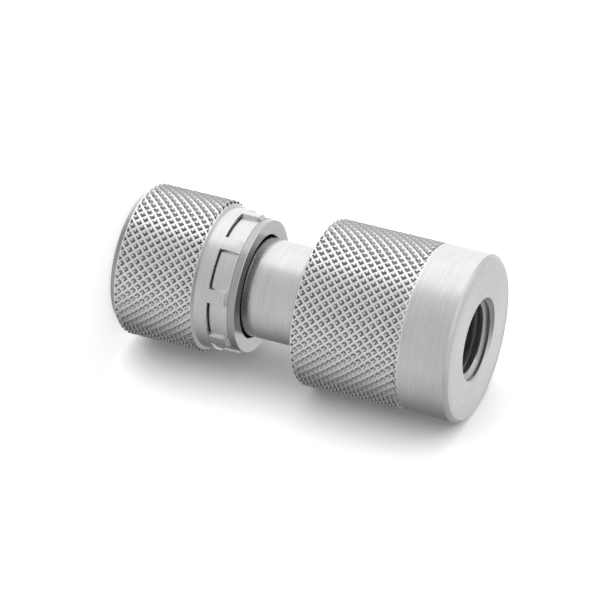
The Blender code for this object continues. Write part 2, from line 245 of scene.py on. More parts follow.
def place_on_step(vert, steps, radius):
    """Moves a vertex to the nearest step of the turn and to a radius."""
    turned = round(math.atan2(vert.co.y, vert.co.x) / FULL_TURN * steps) / steps * FULL_TURN
    vert.co.x = radius * math.cos(turned)
    vert.co.y = radius * math.sin(turned)


def turn(bm, profile, steps, closed=False):
    """Turns a profile of (radius, height) points once round Z."""
    corners = [bm.verts.new((radius, 0.0, height)) for radius, height in profile]
    ends = corners[1:] + corners[:1] if closed else corners[1:]
    edges = [bm.edges.new(pair) for pair in zip(corners, ends)]
    bmesh.ops.spin(bm, geom=corners + edges, cent=(0, 0, 0), axis=(0, 0, 1), dvec=(0, 0, 0),
                   angle=FULL_TURN, steps=steps, use_merge=True)


def arc(centre_radius, centre_height, size, start, end, count):
    """Points on an arc of the profile, for a rounded edge."""
    points = []
    for index in range(count + 1):
        turned = math.radians(start + (end - start) * index / count)
        points.append((centre_radius + size * math.cos(turned),
                       centre_height + size * math.sin(turned)))
    return points


def knurl(bm, sizes, radius, bottom, top, around, rows, steps, limit, fade_top):
    """Adds a wall of diamond knurl between two heights.

    Square cells are poked at their middles and the edges between the cells are dissolved, which
    leaves diamonds. Each diamond is inset by half a groove, inset again by a flank, and its middle
    is raised to the full radius, but nowhere past what limit gives for its height. Where fade_top
    is set, the grooves run out at the top. A face layer marks the flanks for painted shade and the
    tops and grooves for a painted highlight in the colour.
    """
    painted_shade = bm.faces.layers.float.new("painted_shade")
    bm.faces.layers.float.new("torn")
    root = radius - sizes.depth
    row_height = (top - bottom) / rows
    column = [bm.verts.new((root, 0.0, top - row_height * row)) for row in range(rows + 1)]
    edges = [bm.edges.new(pair) for pair in zip(column, column[1:])]
    before = set(bm.faces)
    bmesh.ops.spin(bm, geom=column + edges, cent=(0, 0, 0), axis=(0, 0, 1), dvec=(0, 0, 0),
                   angle=FULL_TURN, steps=around, use_merge=True)
    cells = [face for face in bm.faces if face not in before]
    between = {edge for face in cells for edge in face.edges if len(edge.link_faces) == 2}
    poked = bmesh.ops.poke(bm, faces=cells)
    for vert in poked["verts"]:
        set_radius(vert, root)
    teeth = set(poked["faces"])
    kept = {face for face in bm.faces if face not in teeth}
    bmesh.ops.dissolve_edges(bm, edges=list(between), use_verts=False)
    teeth = [face for face in bm.faces if face not in kept]
    if fade_top:
        for vert in {vert for face in teeth for vert in face.verts}:
            if vert.co.z > top - WELD:
                set_radius(vert, radius)
    bmesh.ops.inset_individual(bm, faces=teeth, thickness=sizes.groove / 2, depth=0.0,
                               use_even_offset=True)
    flanks = bmesh.ops.inset_individual(bm, faces=teeth, thickness=sizes.flank, depth=0.0,
                                        use_even_offset=True)
    # Painted highlight on the tops and grooves, and painted shade on the flanks, standing in for
    # the shade that the teeth throw on each other
    for face in bm.faces:
        if face not in kept:
            face[painted_shade] = KNURL_PAINTED_HIGHLIGHT
    for face in flanks["faces"]:
        face[painted_shade] = FLANK_PAINTED_SHADE
    for vert in {vert for face in teeth for vert in face.verts}:
        set_radius(vert, radius)
    wall = [face for face in bm.faces if face not in kept]
    rims = {edge for face in wall for edge in face.edges if edge.is_boundary}
    for vert in {vert for face in wall for vert in face.verts}:
        set_radius(vert, min(radius_of(vert), limit(vert.co.z)))
    split = bmesh.ops.subdivide_edges(bm, edges=list(rims), cuts=steps // around - 1)
    for vert in split["geom_inner"]:
        if isinstance(vert, bmesh.types.BMVert):
            level = radius if fade_top and vert.co.z > top - row_height / 2 else root
            place_on_step(vert, steps, min(level, limit(vert.co.z)))


def thread(bm, steps, crest, depth, pitch, top, bottom, shape, fade):
    """Adds the wall of an internal right-hand thread between two heights.

    One axial line of points is spun once round with a fall of one pitch, so its last copy meets
    its first one a turn lower. Points beyond either end are gathered on the end circle. fade gives
    the share of the depth that is left at a height, and shape the radius for a height and a cut.
    """
    turns = math.ceil((top - bottom) / pitch) + 1
    line = []
    for turned in range(turns):
        for level, share in THREAD_OUTLINE:
            height = top + pitch - (turned + level) * pitch
            line.append(bm.verts.new((crest + depth * share, 0.0, height)))
    edges = [bm.edges.new(pair) for pair in zip(line, line[1:])]
    before = set(bm.verts) - set(line)
    bmesh.ops.spin(bm, geom=line + edges, cent=(0, 0, 0), axis=(0, 0, 1),
                   dvec=(0, 0, -pitch / steps), angle=FULL_TURN, steps=steps, use_merge=False)
    wall = [vert for vert in bm.verts if vert not in before]
    bmesh.ops.remove_doubles(bm, verts=wall, dist=WELD)
    wall = [vert for vert in bm.verts if vert not in before]
    painted_shade = bm.faces.layers.float["painted_shade"]
    torn = bm.faces.layers.float["torn"]
    # Painted shade on the thread's flanks, standing in for the shade that the grooves trap
    for face in {face for vert in wall for face in vert.link_faces}:
        reach = [radius_of(vert) for vert in face.verts]
        face[torn] = 1.0
        face[painted_shade] = THREAD_PAINTED_SHADE if max(reach) - min(reach) > depth / 2 else 0.0
    for vert in wall:
        cut = (radius_of(vert) - crest) * fade(vert.co.z)
        vert.co.z = min(max(vert.co.z, bottom), top)
        set_radius(vert, shape(vert.co.z, cut))
    bmesh.ops.remove_doubles(bm, verts=wall, dist=WELD)
    bmesh.ops.dissolve_degenerate(bm, edges=bm.edges, dist=WELD)


def body_mesh(knurls, sizes):
    """Grip, neck, head and nose in one piece, with the threaded port and the bore."""
    bm = bmesh.new()
    steps = knurls.grip_around * STEPS_PER_TOOTH
    radius = CAD_HIGH.x
    top = BODY_HIGH.z
    grip_foot = top - sizes.grip_length
    knurl_top = top - sizes.band_length
    knurl_foot = grip_foot + EDGE_BREAK
    root = radius - knurls.depth
    floor_z = top - sizes.port_depth
    floor_radius = sizes.port_minor - sizes.port_depth * PIPE_TAPER
    knurl(bm, knurls, radius, knurl_foot, knurl_top, knurls.grip_around, knurls.grip_rows, steps,
          lambda height: root + max(0.0, height - knurl_foot) + EDGE_BREAK / 10, fade_top=True)
    chamfer = sizes.end_chamfer
    turn(bm, [
        (radius, knurl_top),
        (radius, knurl_top + EDGE_BREAK),
        (radius, (knurl_top + top - chamfer) / 2),
        (radius, top - chamfer),
        (radius - chamfer, top - EDGE_BREAK * 0.3),
        (radius - chamfer - EDGE_BREAK, top),
        ((radius + sizes.port_radius) / 2, top),
        (sizes.port_radius, top),
    ], steps)

    def port_shape(height, cut):
        depth = top - height
        return max(sizes.port_minor - depth * PIPE_TAPER + cut,
                   sizes.port_radius - depth * PORT_FLARE)

    def port_fade(height):
        run_out = PORT_RUN_OUT * sizes.port_pitch
        return min(1.0, max(0.0, (height - floor_z - sizes.port_pitch) / run_out))

    thread(bm, steps, sizes.port_minor, sizes.port_thread, sizes.port_pitch, top, floor_z,
           port_shape, port_fade)
    neck = sizes.neck_radius
    nose = sizes.nose_radius
    bore = sizes.bore_radius
    tip = BODY_LOW.z
    fillet = sizes.neck_fillet
    point = (floor_radius - bore) / math.tan(math.radians(DRILL_HALF_ANGLE))
    groove = SNAP_LOW.z - FIT_GAP
    groove_top = SNAP_HIGH.z + FIT_GAP
    groove_radius = neck - sizes.snap_groove
    shoulder = groove - sizes.snap_wall
    seal_top = BACKUP_HIGH.z + SEAL_GAP
    seal_foot = O_RING_LOW.z - FIT_GAP
    seal_radius = nose - sizes.seal_groove
    turn(bm, [
        (floor_radius, floor_z),
        (bore, floor_z - point),
        (bore, tip + EDGE_BREAK),
        (bore + EDGE_BREAK, tip),
        (nose - sizes.nose_chamfer, tip),
        (nose, tip + sizes.nose_chamfer),
        (nose, seal_foot - EDGE_BREAK),
        (nose - EDGE_BREAK, seal_foot),
        (seal_radius, seal_foot),
        (seal_radius, seal_top),
        (nose - EDGE_BREAK, seal_top),
        (nose, seal_top + EDGE_BREAK),
        (nose, shoulder),
        (neck - sizes.head_chamfer, shoulder),
        (neck, shoulder + sizes.head_chamfer),
        (neck, groove - EDGE_BREAK),
        (neck - EDGE_BREAK, groove),
        (groove_radius, groove),
        (groove_radius, groove_top),
        (neck - EDGE_BREAK, groove_top),
        (neck, groove_top + EDGE_BREAK),
        (neck, grip_foot - fillet),
        *arc(neck + fillet, grip_foot - fillet, fillet, 180.0, 90.0, 4)[1:],
        (root - 2 * EDGE_BREAK, grip_foot),
        (root - EDGE_BREAK, grip_foot),
        (root, knurl_foot),
    ], steps)
    bmesh.ops.remove_doubles(bm, verts=bm.verts, dist=WELD)
    return bm


def nut_mesh(knurls, sizes):
    """Coupling nut: knurled barrel, thin collar with staked tabs, cavity and thread."""
    bm = bmesh.new()
    steps = knurls.nut_around * STEPS_PER_TOOTH
    radius = NUT_HIGH.x
    root = radius - knurls.depth
    top = NUT_HIGH.z
    mouth = radius - sizes.mouth_chamfer
    knurl_foot = root - mouth
    knurl_top = sizes.knurl_top - sizes.shoulder_rise
    collar = sizes.collar_radius
    skirt = sizes.skirt_radius

    def limit(height):
        return min(mouth + height, root + EDGE_BREAK / 10 + max(0.0, knurl_top - height))

    knurl(bm, knurls, radius, knurl_foot, knurl_top, knurls.nut_around, knurls.nut_rows, steps,
          limit, fade_top=False)
    chamfer = sizes.collar_chamfer
    floor_z = RING_LOW.z - FIT_GAP
    cavity = SNAP_HIGH.y + RUNNING_GAP
    cavity_foot = SNAP_LOW.z - RUNNING_GAP
    countersink = sizes.thread_minor + sizes.thread_depth + sizes.countersink
    turn(bm, [
        (root, knurl_top),
        (collar, sizes.knurl_top),
        (collar, sizes.window_z),
        (collar, sizes.tab_tip_z),
        (collar, (sizes.tab_tip_z + top) / 2),
        (collar, top - chamfer),
        (collar - chamfer, top),
        (skirt, top),
        (skirt, sizes.tab_tip_z),
        (skirt, sizes.window_z),
        (skirt, floor_z),
        (cavity, floor_z),
        (cavity, cavity_foot),
        (sizes.thread_minor, cavity_foot),
    ], steps)

    def bore_shape(height, cut):
        return max(sizes.thread_minor + cut, countersink - height)

    def bore_fade(height):
        return min(1.0, max(0.0, (cavity_foot - height) / sizes.thread_pitch))

    thread(bm, steps, sizes.thread_minor, sizes.thread_depth, sizes.thread_pitch, cavity_foot, 0.0,
           bore_shape, bore_fade)
    turn(bm, [
        (countersink, 0.0),
        (mouth - EDGE_BREAK, 0.0),
        (mouth, EDGE_BREAK / 2),
        (root, knurl_foot),
    ], steps)
    bmesh.ops.remove_doubles(bm, verts=bm.verts, dist=WELD)
    cut_windows(bm, sizes, steps, top)
    bmesh.ops.recalc_face_normals(bm, faces=bm.faces)
    step = 360.0 / steps
    phase = sizes.tab_phase - sizes.tab_steps * step / 2
    bmesh.ops.rotate(bm, verts=bm.verts, cent=(0, 0, 0),
                     matrix=Matrix.Rotation(math.radians(phase), 3, "Z"))
    return bm


def step_of(vector, steps):
    """The step of the turn that a point lies in, counted from +X."""
    return math.floor(math.atan2(vector.y, vector.x) / FULL_TURN * steps) % steps


def cut_windows(bm, sizes, steps, top):
    """Pushes the staked tabs in and opens the slit in front of each free end."""
    pitch = steps // sizes.tab_count
    collar = sizes.collar_radius
    skirt = sizes.skirt_radius
    hinge = collar - sizes.collar_chamfer
    tip = collar - sizes.tab_drop

    def in_tab(point):
        return step_of(point, steps) % pitch < sizes.tab_steps

    def floor_of(height):
        share = (top - max(height, sizes.tab_tip_z)) / (top - sizes.tab_tip_z)
        return hinge + (tip - hinge) * share

    windows = [face for face in bm.faces
               if face.calc_center_median().z > sizes.window_z
               and math.hypot(*face.calc_center_median().xy) > hinge - WELD
               and in_tab(face.calc_center_median())]
    pushed = bmesh.ops.extrude_face_region(bm, geom=windows)
    bmesh.ops.delete(bm, geom=windows, context="FACES_ONLY")
    lean = Matrix.Rotation(sizes.tab_lean / collar, 3, "Z")
    for item in pushed["geom"]:
        if isinstance(item, bmesh.types.BMVert):
            place = round(math.atan2(item.co.y, item.co.x) / FULL_TURN * steps) % pitch
            if item.co.z < top - sizes.collar_chamfer + WELD and place in (0, sizes.tab_steps):
                item.co = (lean if place == 0 else lean.transposed()) @ item.co
            if item.co.z < sizes.window_z + WELD:
                item.co.z += sizes.window_lean
            set_radius(item, min(radius_of(item), floor_of(item.co.z)))
    bmesh.ops.remove_doubles(bm, verts=bm.verts, dist=WELD)
    edge = math.radians(360.0 / steps) / 4
    for vert in bm.verts:
        inner = abs(radius_of(vert) - skirt) < WELD and abs(vert.co.z - sizes.tab_tip_z) < WELD
        if inner and in_tab(Matrix.Rotation(edge, 3, "Z") @ vert.co) \
                and in_tab(Matrix.Rotation(-edge, 3, "Z") @ vert.co):
            set_radius(vert, tip - sizes.tab_thickness)
    slit_z = (sizes.window_z + sizes.tab_tip_z) / 2
    half = (sizes.tab_tip_z - sizes.window_z) / 2
    slits = [[] for _ in range(sizes.tab_count)]
    for face in bm.faces:
        centre = face.calc_center_median()
        reach = math.hypot(*centre.xy)
        if abs(centre.z - slit_z) < half * 0.8 and in_tab(centre) \
                and tip - sizes.tab_thickness - WELD < reach < tip + WELD:
            slits[step_of(centre, steps) // pitch].append(face)
    for faces in slits:
        rim = {edge for face in faces for edge in face.edges
               if sum(other in faces for other in edge.link_faces) == 1}
        bmesh.ops.delete(bm, geom=faces, context="FACES_ONLY")
        bmesh.ops.bridge_loops(bm, edges=list(rim))
    loose = [edge for edge in bm.edges if edge.is_wire]
    bmesh.ops.delete(bm, geom=loose, context="EDGES")


def ring_mesh(sizes):
    """Retaining ring: polished rear face and rim, groove for the tabs, and land in the skirt."""
    bm = bmesh.new()
    outer = RING_HIGH.x
    top = RING_HIGH.z
    hole = sizes.ring_hole
    foot = NUT_HIGH.z + sizes.rim_gap
    turn(bm, [
        (outer - EDGE_BREAK, top),
        (outer, top - EDGE_BREAK),
        (outer, foot),
        (sizes.ring_groove, foot),
        (sizes.ring_groove, sizes.ring_land_top),
        (sizes.ring_land, sizes.ring_land_top),
        (sizes.ring_land, RING_LOW.z),
        (hole, RING_LOW.z),
        (hole, top - 2 * EDGE_BREAK),
        (hole + 2 * EDGE_BREAK, top),
    ], RING_STEPS, closed=True)
    painted_shade = bm.faces.layers.float.new("painted_shade")
    # Painted shade on the rim and the rear face, which darkens their reflections
    for face in bm.faces:
        centre = face.calc_center_median()
        if math.hypot(*centre.xy) > outer - 2 * EDGE_BREAK and centre.z < top - EDGE_BREAK:
            face[painted_shade] = RIM_PAINTED_SHADE
        elif centre.z > top - EDGE_BREAK / 4:
            face[painted_shade] = REAR_PAINTED_SHADE
    return bm


def flat_section(inner, outer, low, high):
    """Section of a flat ring with its four edges broken."""
    edge = EDGE_BREAK
    return [(outer - edge, high), (outer, high - edge), (outer, low + edge), (outer - edge, low),
            (inner + edge, low), (inner, low + edge), (inner, high - edge), (inner + edge, high)]


def snap_ring_mesh(sizes):
    bm = bmesh.new()
    section = flat_section(sizes.snap_inner, sizes.snap_outer, SNAP_LOW.z, SNAP_HIGH.z)
    face = bm.faces.new([bm.verts.new((radius, 0.0, height)) for radius, height in section])
    start = Matrix.Rotation(math.radians(sizes.snap_opening / 2), 3, "Z")
    bmesh.ops.rotate(bm, verts=face.verts, cent=(0, 0, 0), matrix=start)
    bmesh.ops.spin(bm, geom=[face], cent=(0, 0, 0), axis=(0, 0, 1), dvec=(0, 0, 0),
                   angle=FULL_TURN - math.radians(sizes.snap_opening), steps=SNAP_RING_STEPS)
    return bm


def o_ring_mesh(sizes):
    bm = bmesh.new()
    section = sizes.seal_section
    height = (O_RING_LOW.z + O_RING_HIGH.z) / 2
    turn(bm, arc(sizes.seal_inner + section, height, section, 0.0, 345.0, 23), SMALL_STEPS,
         closed=True)
    return bm


def backup_ring_mesh(sizes):
    bm = bmesh.new()
    turn(bm, flat_section(sizes.seal_inner, sizes.backup_outer, BACKUP_LOW.z, BACKUP_HIGH.z),
         SMALL_STEPS, closed=True)
    return bm


def pin_mesh(sizes):
    """Depressor pin: round tip on a square shank, whose flats leave room for the flow."""
    bm = bmesh.new()
    radius = sizes.pin_radius
    rounding = sizes.pin_round
    low = PIN_LOW.z
    shank = low + sizes.pin_tip
    turn(bm, [
        (radius, shank),
        (radius, low + rounding),
        *arc(radius - rounding, low + rounding, rounding, 0.0, -90.0, 4)[1:],
    ], PIN_STEPS)
    rim = [edge for edge in bm.edges if edge.is_boundary]
    bmesh.ops.holes_fill(bm, edges=rim, sides=0)
    block = bmesh.ops.create_cone(bm, cap_ends=True, segments=4, radius1=sizes.pin_shank,
                                  radius2=sizes.pin_shank, depth=PIN_HIGH.z - shank)
    bmesh.ops.translate(bm, verts=block["verts"], vec=(0, 0, (PIN_HIGH.z + shank) / 2))
    edges = list({edge for vert in block["verts"] for edge in vert.link_edges})
    bmesh.ops.bevel(bm, geom=edges, offset=sizes.pin_bevel, offset_type="OFFSET",
                    affect="EDGES", segments=2, profile=0.5, material=-1)
    return bm


# Finishes

# How far the turning lines and the clouds of the turned steel, and the grain of the plain
# finishes, lighten and darken the colour
LINE_SHADE = 0.34
CLOUD_SHADE = 0.14
GRAIN_SHADE = 0.2
# How far the speckle, the grain and a torn face, such as a thread's, change the roughness
SPECKLE_ROUGHNESS = 0.12
GRAIN_ROUGHNESS = 0.1
TORN_ROUGHNESS = 0.18
# Height of the bumps, and how far a turning line drifts in one radian round the axis, in metres
BUMP_HEIGHT = 0.02 * MM
LINE_DRIFT = 0.3 * MM
# Fineness of the turning lines, the speckle and the clouds
LINE_SCALE = 4200.0
SPECKLE_SCALE = 5200.0
CLOUD_SCALE = 420.0


class Nodes:
    """A short way to write a node tree down: each call adds one node and returns its output."""

    def __init__(self, tree):
        self.tree = tree
        tree.nodes.clear()

    def add(self, kind, output=0, inputs=(), **settings):
        node = self.tree.nodes.new(kind)
        for name, value in settings.items():
            setattr(node, name, value)
        for name, value in dict(inputs).items():
            socket = node.inputs[name]
            if isinstance(value, bpy.types.NodeSocket):
                self.tree.links.new(value, socket)
            else:
                socket.default_value = value
        return node if output is None else node.outputs[output]

    def math(self, operation, first, second=0.0, third=0.0):
        return self.add("ShaderNodeMath", inputs={0: first, 1: second, 2: third},
                        operation=operation)

    def ramp(self, factor, stops):
        """A ramp of greys through (position, value) stops."""
        node = self.add("ShaderNodeValToRGB", output=None, inputs={0: factor})
        elements = node.color_ramp.elements
        while len(elements) < len(stops):
            elements.new(0.5)
        for element, (position, value) in zip(elements, stops):
            element.position = position
            element.color = (value, value, value, 1.0)
        return node.outputs[0]


def turned_steel(name, tint, roughness, lines, grain, streaks):
    """Steel with fine turning lines that follow the radius on faces and the height on cylinders.

    A face attribute paints shade into the colour of the faces that it marks, such as the knurl's
    flanks, or a painted highlight where it is below zero, and the one named torn roughens the
    threads.
    """
    material = bpy.data.materials.new(name)
    material.use_nodes = True
    nodes = Nodes(material.node_tree)
    place = nodes.add("ShaderNodeTexCoord", output="Object")
    split = nodes.add("ShaderNodeSeparateXYZ", output=None, inputs={0: place})
    x, y, z = split.outputs
    reach = nodes.math("SQRT", nodes.math("ADD", nodes.math("MULTIPLY", x, x),
                                          nodes.math("MULTIPLY", y, y)))
    turned = nodes.math("ARCTAN2", y, x)
    across = nodes.add("ShaderNodeCombineXYZ", inputs={
        0: reach, 1: nodes.math("MULTIPLY", turned, LINE_DRIFT), 2: z})
    cuts = nodes.add("ShaderNodeTexNoise", inputs={
        "Vector": across, "Scale": LINE_SCALE, "Detail": 3.0, "Roughness": 0.7})
    speckle = nodes.add("ShaderNodeTexNoise", inputs={
        "Vector": place, "Scale": SPECKLE_SCALE, "Detail": 2.0, "Roughness": 0.6})
    cloud = nodes.add("ShaderNodeTexNoise", inputs={
        "Vector": place, "Scale": CLOUD_SCALE, "Detail": 3.0, "Roughness": 0.55})
    lined = nodes.add("ShaderNodeBump", inputs={
        "Strength": lines, "Distance": BUMP_HEIGHT, "Height": cuts})
    grained = nodes.add("ShaderNodeBump", inputs={
        "Strength": grain, "Distance": BUMP_HEIGHT, "Height": speckle, "Normal": lined})
    painted_shade = nodes.add("ShaderNodeAttribute", output="Fac", attribute_name="painted_shade")
    shade = nodes.math("MULTIPLY_ADD", cloud, CLOUD_SHADE, 1.0 - (CLOUD_SHADE + LINE_SHADE) / 2)
    shade = nodes.math("MULTIPLY_ADD", cuts, LINE_SHADE, shade)
    # Painted shade darkens the colour of the marked faces, and a painted highlight lightens it
    shade = nodes.math("MULTIPLY", shade, nodes.math("SUBTRACT", 1.0, painted_shade))
    base = nodes.add("ShaderNodeMix", output=2, data_type="RGBA", blend_type="MULTIPLY", inputs={
        0: 1.0, 6: (*tint, 1.0), 7: nodes.add("ShaderNodeCombineColor", inputs={
            0: shade, 1: shade, 2: shade})})
    rough = nodes.math("MULTIPLY_ADD", speckle, SPECKLE_ROUGHNESS,
                       roughness - SPECKLE_ROUGHNESS / 2)
    torn = nodes.add("ShaderNodeAttribute", output="Fac", attribute_name="torn")
    rough = nodes.math("MULTIPLY_ADD", torn, TORN_ROUGHNESS, rough)
    shader = nodes.add("ShaderNodeBsdfPrincipled", inputs={
        "Base Color": base, "Roughness": rough, "Metallic": 1.0, "Normal": grained,
        "Anisotropic": streaks, "Tangent": nodes.add("ShaderNodeTangent", axis="Z")})
    nodes.add("ShaderNodeOutputMaterial", output=None, inputs={"Surface": shader})
    return material


def plain_finish(name, tint, roughness, metallic, scale, height):
    """Rubber, plastic or plain metal with a fine even grain."""
    material = bpy.data.materials.new(name)
    material.use_nodes = True
    nodes = Nodes(material.node_tree)
    place = nodes.add("ShaderNodeTexCoord", output="Object")
    speckle = nodes.add("ShaderNodeTexNoise", inputs={
        "Vector": place, "Scale": scale, "Detail": 3.0, "Roughness": 0.6})
    grained = nodes.add("ShaderNodeBump", inputs={
        "Strength": height, "Distance": BUMP_HEIGHT, "Height": speckle})
    shade = nodes.math("MULTIPLY_ADD", speckle, GRAIN_SHADE, 1.0 - GRAIN_SHADE / 2)
    base = nodes.add("ShaderNodeMix", output=2, data_type="RGBA", blend_type="MULTIPLY", inputs={
        0: 1.0, 6: (*tint, 1.0), 7: nodes.add("ShaderNodeCombineColor", inputs={
            0: shade, 1: shade, 2: shade})})
    rough = nodes.math("MULTIPLY_ADD", speckle, GRAIN_ROUGHNESS, roughness - GRAIN_ROUGHNESS / 2)
    shader = nodes.add("ShaderNodeBsdfPrincipled", inputs={
        "Base Color": base, "Roughness": rough, "Metallic": metallic, "Normal": grained})
    nodes.add("ShaderNodeOutputMaterial", output=None, inputs={"Surface": shader})
    return material


# Studio

CAMERA_TARGET = Vector((0.00046, -0.00016, 0.0215))
CAMERA_DISTANCE = 0.5402
CAMERA_AZIMUTH = -4.63
CAMERA_ELEVATION = 19.21
CAMERA_ROLL = 103.83
CAMERA_LENS = 270.0
CAMERA_SENSOR = 36.0
# Light of the studio round the object, as (degrees from -X towards -Y, level). Each ring is
# blended over the one before it between two heights of the direction. The levels are stored as
# shares of the room's strength, because a ramp holds none above 1.
ROOM_STRENGTH = 2.0
ROOM_RINGS = (
    (None, ((-180, 0.60), (-145, 0.62), (-122, 0.55), (-98, 0.38), (-78, 0.20), (-58, 0.24),
            (-38, 1.10), (20, 1.40), (60, 1.00), (120, 0.70), (180, 0.60))),
    ((-0.85, -0.6), ((-180, 0.62), (-155, 0.34), (-135, 0.21), (-112, 0.19), (-95, 0.70),
                     (-78, 1.30), (-15, 1.52), (29, 1.48), (41, 0.84), (85, 0.74),
                     (145, 0.81), (180, 0.62))),
    ((-0.1, 0.3), ((-180, 0.50), (-141, 0.45), (-125, 0.50), (-95, 1.00), (-55, 0.85),
                   (-20, 0.90), (0, 0.50), (20, 0.15), (150, 0.12), (180, 0.50))),
    ((0.45, 0.65), ((-180, 0.55), (-140, 0.60), (-60, 0.90), (-20, 1.30), (50, 1.30), (90, 0.90),
                    (118, 0.28), (135, 0.14), (163, 0.16), (180, 0.55))),
    ((0.8, 0.9), ((-180, 0.78), (-60, 0.85), (10, 1.05), (60, 0.90), (120, 0.80), (180, 0.78))),
)
FLOOR_SIZE = 8.0
FLOOR_GREY = 0.70
FLOOR_LIFT = 0.60
# The backdrop lies behind the connector, as the table that it rests on in the photograph
BACKDROP_NORMAL = Vector((-0.847, -0.532, 0.0)).normalized()
BACKDROP_SIZE = 4.0
BACKDROP_GREY = 0.72
BACKDROP_GAP = 0.02 * MM
# The sun lights the backdrop alone, so it doesn't reach the object
SUN_TOWARD = Vector((-0.847, -0.532, 0.05))
SUN_SPREAD = 105.0
SUN_STRENGTH = 3.5


def make_camera():
    data = bpy.data.cameras.new("Camera")
    data.lens = CAMERA_LENS
    data.sensor_width = CAMERA_SENSOR
    data.clip_start = 0.01
    data.clip_end = 20.0
    camera = bpy.data.objects.new("Camera", data)
    bpy.context.scene.collection.objects.link(camera)
    azimuth, elevation = math.radians(CAMERA_AZIMUTH), math.radians(CAMERA_ELEVATION)
    level = math.cos(elevation)
    back = Vector((math.sin(azimuth) * level, -math.cos(azimuth) * level, math.sin(elevation)))
    turned = back.to_track_quat("Z", "Y").to_matrix().to_4x4()
    camera.matrix_world = (Matrix.Translation(CAMERA_TARGET + back * CAMERA_DISTANCE) @ turned
                           @ Matrix.Rotation(math.radians(CAMERA_ROLL), 4, "Z"))
    bpy.context.scene.camera = camera


def make_room():
    """A studio that the steel mirrors, with bright, grey and dark sides, seen as plain white."""
    world = bpy.data.worlds.new("Studio")
    world.use_nodes = True
    bpy.context.scene.world = world
    nodes = Nodes(world.node_tree)
    direction = nodes.add("ShaderNodeTexCoord", output="Generated")
    split = nodes.add("ShaderNodeSeparateXYZ", output=None, inputs={0: direction})
    x, y, z = split.outputs
    turned = nodes.math("ARCTAN2", nodes.math("MULTIPLY", y, -1.0),
                        nodes.math("MULTIPLY", x, -1.0))
    share = nodes.math("MULTIPLY_ADD", turned, 1 / FULL_TURN, 0.5)

    def ring_of(levels):
        return nodes.ramp(share, [((degrees + 180) / 360, level / ROOM_STRENGTH)
                                  for degrees, level in levels])

    light = ring_of(ROOM_RINGS[0][1])
    for (low, high), levels in ROOM_RINGS[1:]:
        step = nodes.add("ShaderNodeMapRange", inputs={"Value": z, 1: low, 2: high})
        light = nodes.add("ShaderNodeMix", output=2, data_type="RGBA",
                          inputs={0: step, 6: light, 7: ring_of(levels)})
    room = nodes.add("ShaderNodeBackground", inputs={"Color": light, "Strength": ROOM_STRENGTH})
    white = nodes.add("ShaderNodeBackground", inputs={"Color": (1.0, 1.0, 1.0, 1.0),
                                                      "Strength": 1.0})
    seen = nodes.add("ShaderNodeLightPath", output="Is Camera Ray")
    both = nodes.add("ShaderNodeMixShader", inputs={0: seen, 1: room, 2: white})
    nodes.add("ShaderNodeOutputWorld", output=None, inputs={"Surface": both})


def stage_plane(name, size, grey, lift):
    """A square plane of the stage, clear from behind, which the steel doesn't mirror."""
    bm = bmesh.new()
    bmesh.ops.create_grid(bm, x_segments=1, y_segments=1, size=size / 2)
    mesh = bpy.data.meshes.new(name)
    bm.to_mesh(mesh)
    bm.free()
    material = bpy.data.materials.new(name)
    material.use_nodes = True
    nodes = Nodes(material.node_tree)
    paint = nodes.add("ShaderNodeBsdfDiffuse", inputs={"Color": (grey, grey, grey, 1.0)})
    glow = nodes.add("ShaderNodeEmission", inputs={"Color": (1.0, 1.0, 1.0, 1.0),
                                                   "Strength": lift})
    front = nodes.add("ShaderNodeAddShader", inputs={0: paint, 1: glow})
    clear = nodes.add("ShaderNodeBsdfTransparent")
    behind = nodes.add("ShaderNodeNewGeometry", output="Backfacing")
    both = nodes.add("ShaderNodeMixShader", inputs={0: behind, 1: front, 2: clear})
    nodes.add("ShaderNodeOutputMaterial", output=None, inputs={"Surface": both})
    mesh.materials.append(material)
    plane = bpy.data.objects.new(name, mesh)
    bpy.context.scene.collection.objects.link(plane)
    plane.visible_glossy = False
    plane.visible_diffuse = False
    plane.visible_shadow = False
    return plane


def make_floor_and_backdrop():
    stage_plane("Floor", FLOOR_SIZE, FLOOR_GREY, FLOOR_LIFT)
    backdrop = stage_plane("Backdrop", BACKDROP_SIZE, BACKDROP_GREY, 0.0)
    turned = BACKDROP_NORMAL.to_track_quat("Z", "Y").to_matrix().to_4x4()
    gap = CAD_HIGH.x + BACKDROP_GAP
    backdrop.matrix_world = Matrix.Translation(-BACKDROP_NORMAL * gap) @ turned
    return backdrop


def make_sun(lit):
    """A soft sun that lights only the backdrop, for the shadow that the connector throws on it."""
    data = bpy.data.lights.new("Sun", "SUN")
    data.angle = math.radians(SUN_SPREAD)
    data.energy = SUN_STRENGTH
    lamp = bpy.data.objects.new("Sun", data)
    bpy.context.scene.collection.objects.link(lamp)
    lamp.matrix_world = (Matrix.Translation(CAMERA_TARGET + SUN_TOWARD.normalized())
                         @ SUN_TOWARD.to_track_quat("Z", "Y").to_matrix().to_4x4())
    receivers = bpy.data.collections.new("Lit by the sun")
    receivers.objects.link(lit)
    lamp.light_linking.receiver_collection = receivers


# Operators


class CONNECTOR_OT_body(bpy.types.Operator):
    """Adds the body: knurled grip, threaded port, neck and nose"""

    bl_idname = "connector.body"
    bl_label = "Body"

    def execute(self, context):
        settings = context.scene
        steel = turned_steel("Turned steel", settings.connector_finishes.steel, roughness=0.26,
                             lines=0.35, grain=0.25, streaks=0.6)
        bm = body_mesh(settings.connector_knurls, settings.connector_body)
        new_piece("grip_and_stem", bm, "body", steel, "turned_steel", "body")
        return {"FINISHED"}


